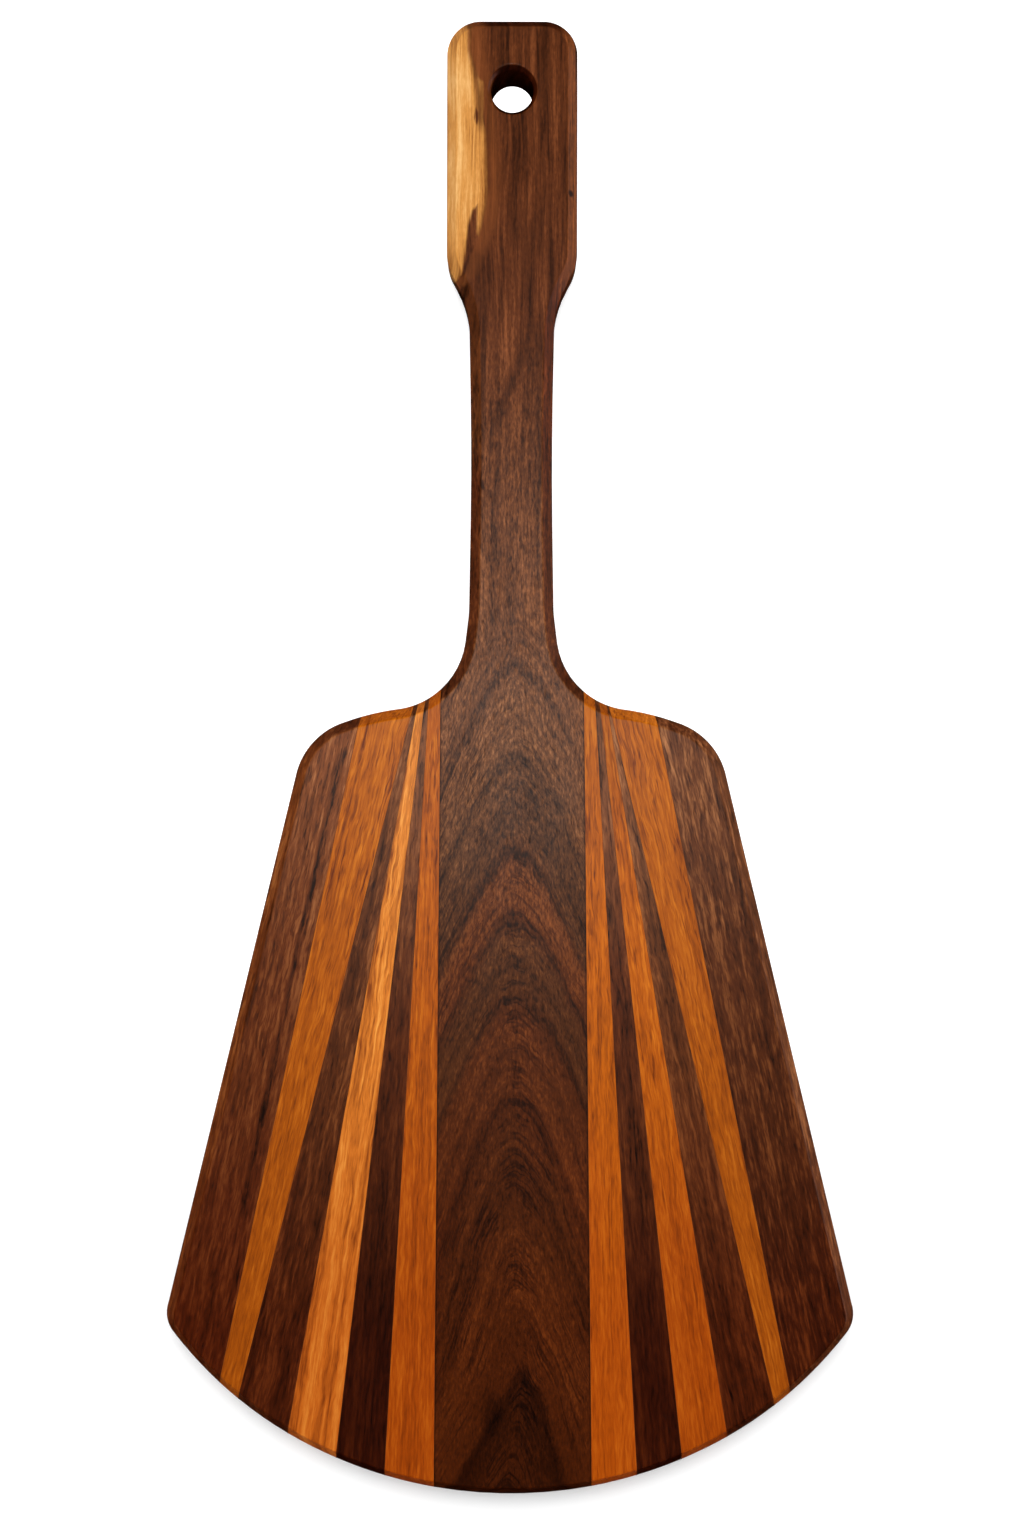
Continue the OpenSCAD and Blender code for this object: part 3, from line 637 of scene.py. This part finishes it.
# each strip: where its middle crosses y 0, how far it leans, where it reads the noise, and its own wood;
# a streak is its place, half width, top, bottom and depth
strips = {
    "left_inner_cherry_strip": dict(cherry, middle=-32.3, lean=0.031, seed=1, mid=(178, 88, 5),
                                    shoulderTint=(242, 240, 242)),
    "left_inner_walnut_strip": dict(innerWalnut, middle=-36.7, lean=0.086, seed=2,
                                    middleToneAndShadeTint=(168, 137, 104)),
    "left_tan_strip": dict(tan, middle=-40.3, lean=0.147, seed=3),
    "left_middle_walnut_strip": dict(walnut, middle=-44.0, lean=0.214, seed=4,
                                     streaks=[(-0.5, 2.2, 0.0, -130.0, 0.25)]),
    "left_wide_cherry_strip": dict(wideCherry, middle=-55.6, lean=0.231, seed=5,
                                   streaks=[(-6.2, 1.0, 60.0, -80.0, 0.3)]),
    # the left edge strip's side bevel gets painted shade
    "left_edge_walnut_strip": dict(walnut, middle=-75.0, lean=0.215, seed=6, mid=(124, 66, 31),
                                   sideLightAndShadeTint=(243, 222, 176),
                                   streaks=[(4.2, 2.0, 20.0, -220.0, 0.35),
                                            (-11.3, 2.4, 0.0, -90.0, -0.2)]),
    "right_inner_cherry_strip": dict(cherry, middle=33.1, lean=-0.034, seed=7, mid=(189, 96, 5),
                                     shoulderTint=(235, 235, 242)),
    "right_inner_walnut_strip": dict(innerWalnut, middle=37.5, lean=-0.083, seed=8),
    "right_middle_cherry_strip": dict(cherry, middle=41.0, lean=-0.139, seed=9,
                                      shoulderTint=(228, 228, 245)),
    "right_middle_walnut_strip": dict(walnut, middle=44.2, lean=-0.203, seed=10, mid=(123, 71, 37)),
    # the right strips' shoulder bevels get painted sheen, and the right edge strip gets painted light on its
    # side bevel
    "right_wide_cherry_strip": dict(wideCherry, middle=54.2, lean=-0.220, seed=11,
                                    shoulderEdgeSheenTint=(290, 308, 400)),
    "right_edge_walnut_strip": dict(walnut, middle=73.0, lean=-0.205, seed=12, mid=(105, 58, 30),
                                    sideLightAndShadeTint=(290, 290, 290), shoulderEdgeSheenTint=(306, 309, 314)),
}
for node, look in strips.items():
    body = shapedCopy(node, node + "_body")
    handIn(body, node, stripWood(node + "_wood", look))
print("twelve strips shaped")


# the dried glue that shows as a hairline in every seam
def driedGlue(name, look):
    sheet = Sheet(bpy.data.materials.new(name))
    place = sheet.woodPlace(0.0, 0.0)
    patch = sheet.noise(look["patches"], place)
    speck = sheet.noise(look["specks"], place)
    tone = 0.5 + patch * look["patchDepth"] + speck * look["speckDepth"]
    colour = sheet.ramp(tone, (0.2, look["dark"]), (0.8, look["pale"]))
    return sheet.finish(colour, look["roughness"] + patch * look["patchRoughness"], speck, oil)


glue = {
    "dark": (40, 18, 8), "pale": (110, 56, 24),
    "patches": ((6, 22, 6), 3.0, 0.6), "patchDepth": 1.1,
    "specks": ((0.8, 1.6, 0.8), 2.0, 0.5), "speckDepth": 0.4,
    "roughness": 0.45, "patchRoughness": 0.2,
}
glueWood = driedGlue("dried_glue", glue)
for side in ("left", "right"):
    for number in range(1, 7):
        node = side + "_glue_line_" + str(number)
        film = shapedCopy(node, node + "_film", sanded=False)
        handIn(film, node, glueWood)
print("twelve glue lines shaped")

# in metres
studio = {
    "floor": (225, 225, 225), "floorSize": 8.0,
    "nearGlow": 0.7, "farGlow": 0.22,    # white added to the floor beside the handle and beyond the blade
    "glowAlong": (-0.24, -0.08),
    "holeGlowSpot": (0.0, 0.281), "holeGlowSpotEdge": (0.013, 0.015),    # painted light: a glow on the floor under the hole hides the board's shadow, so the floor shows white through the hole
    "roomSeen": 0.99, "roomLight": 0.15,    # how white the camera sees the room, and how strongly it lights
}
# each light's tilt from overhead towards the given side, and its spread, in degrees;
# mirrored says whether the oil reflects it, and lighting whether it lights the wood
lights = {
    "dome": {"strength": 0.75, "tilt": 0.0, "towards": (0, 1), "spread": 140.0,
             "mirrored": False, "lighting": True},
    "key": {"strength": 2.7, "tilt": 37.0, "towards": (0, 1), "spread": 30.0,
            "mirrored": False, "lighting": True},
    "fill": {"strength": 0.8, "tilt": 65.0, "towards": (0, -1), "spread": 50.0,
             "mirrored": False, "lighting": True},
    "sheen": {"strength": 0.14, "tilt": 3.0, "towards": (0, 1), "spread": 14.0,
              "mirrored": True, "lighting": True},
    "side": {"strength": 0.5, "tilt": 82.0, "towards": (1, 0), "spread": 60.0,
             "mirrored": True, "lighting": False},
}


# a white floor: the camera sees it with a glow added, so that only the nearest shadow shows, and it is black
# in the oil's reflections
def floorPaint(name, look):
    sheet = Sheet(bpy.data.materials.new(name))
    plain = sheet.add("ShaderNodeBsdfDiffuse", None, {"Color": paint(*look["floor"])})
    ray = sheet.add("ShaderNodeLightPath")
    spot = sheet.add("ShaderNodeTexCoord").outputs["Object"]
    apart = sheet.add("ShaderNodeSeparateXYZ", None, {0: spot})
    x, y = Num(sheet, apart.outputs[0]), Num(sheet, apart.outputs[1])
    glow = look["farGlow"] + (look["nearGlow"] - look["farGlow"]) * y.step(*look["glowAlong"])
    # painted light on the floor under the hole, over the board's shadow
    inHole = 1 - ovalPlace(x, y, *look["holeGlowSpot"], 1.0, 1.0).step(*look["holeGlowSpotEdge"])
    lift = Num(sheet, ray.outputs["Is Camera Ray"]) * (glow + inHole)
    shine = sheet.add("ShaderNodeEmission", None, {"Color": (1.0, 1.0, 1.0, 1.0), "Strength": lift})
    lit = sheet.add("ShaderNodeAddShader", None, {0: plain.outputs[0], 1: shine.outputs[0]})
    dark = sheet.add("ShaderNodeEmission", None, {"Color": (0.0, 0.0, 0.0, 1.0), "Strength": 0.0})
    choice = {0: ray.outputs["Is Glossy Ray"], 1: lit.outputs[0], 2: dark.outputs[0]}
    shown = sheet.add("ShaderNodeMixShader", None, choice)
    sheet.add("ShaderNodeOutputMaterial", None, {"Surface": shown.outputs[0]})
    return sheet.owner


bpy.ops.mesh.primitive_plane_add(size=studio["floorSize"], location=(0.0, 0.0, 0.0))
floor = bpy.context.object
floor.name = "floor"
floor.data.materials.append(floorPaint("floor_white", studio))

# an even room: white for the camera, dim as a light, and not mirrored in the oil
room = bpy.data.worlds.new("room")
bpy.context.scene.world = room
sheet = Sheet(room)
white = (1.0, 1.0, 1.0, 1.0)
shownWhite = (studio["roomSeen"],) * 3 + (1.0,)
soft = sheet.add("ShaderNodeBackground", None, {"Color": white, "Strength": studio["roomLight"]})
seen = sheet.add("ShaderNodeBackground", None, {"Color": shownWhite, "Strength": 1.0})
ray = sheet.add("ShaderNodeLightPath")
choice = {0: ray.outputs["Is Camera Ray"], 1: soft.outputs[0], 2: seen.outputs[0]}
both = sheet.add("ShaderNodeMixShader", None, choice)
sheet.add("ShaderNodeOutputWorld", None, {0: both.outputs[0]})
room.cycles_visibility.glossy = False


# a soft light far away
def softLight(name, look):
    bpy.ops.object.light_add(type="SUN", location=(0.0, 0.0, 2.0))
    light = bpy.context.object
    light.name = name
    light.data.energy = look["strength"]
    light.data.angle = math.radians(look["spread"])
    turn = math.radians(look["tilt"])
    toX, toY = look["towards"]
    way = Vector((math.sin(turn) * toX, math.sin(turn) * toY, math.cos(turn)))
    light.rotation_euler = way.to_track_quat("Z", "Y").to_euler()
    light.visible_glossy = look["mirrored"]
    light.visible_diffuse = look["lighting"]
    light.data.cycles.use_multiple_importance_sampling = look["mirrored"]


for name, look in lights.items():
    softLight(name, look)
print("floor and lights set")

# the place in metres, the roll in degrees, and the lens and its film in mm
view = {
    "place": (0.00041, -0.00435, 0.646), "roll": 0.106,
    "lens": 35.7, "filmWidth": 24.0, "filmHeight": 36.0,
}
bpy.ops.object.camera_add(location=view["place"], rotation=(0.0, 0.0, math.radians(view["roll"])))
camera = bpy.context.object
camera.data.sensor_fit = "VERTICAL"
camera.data.sensor_height = view["filmHeight"]
camera.data.sensor_width = view["filmWidth"]
camera.data.lens = view["lens"]
bpy.context.scene.camera = camera
bpy.context.scene.view_settings.view_transform = "Standard"
print("camera set")
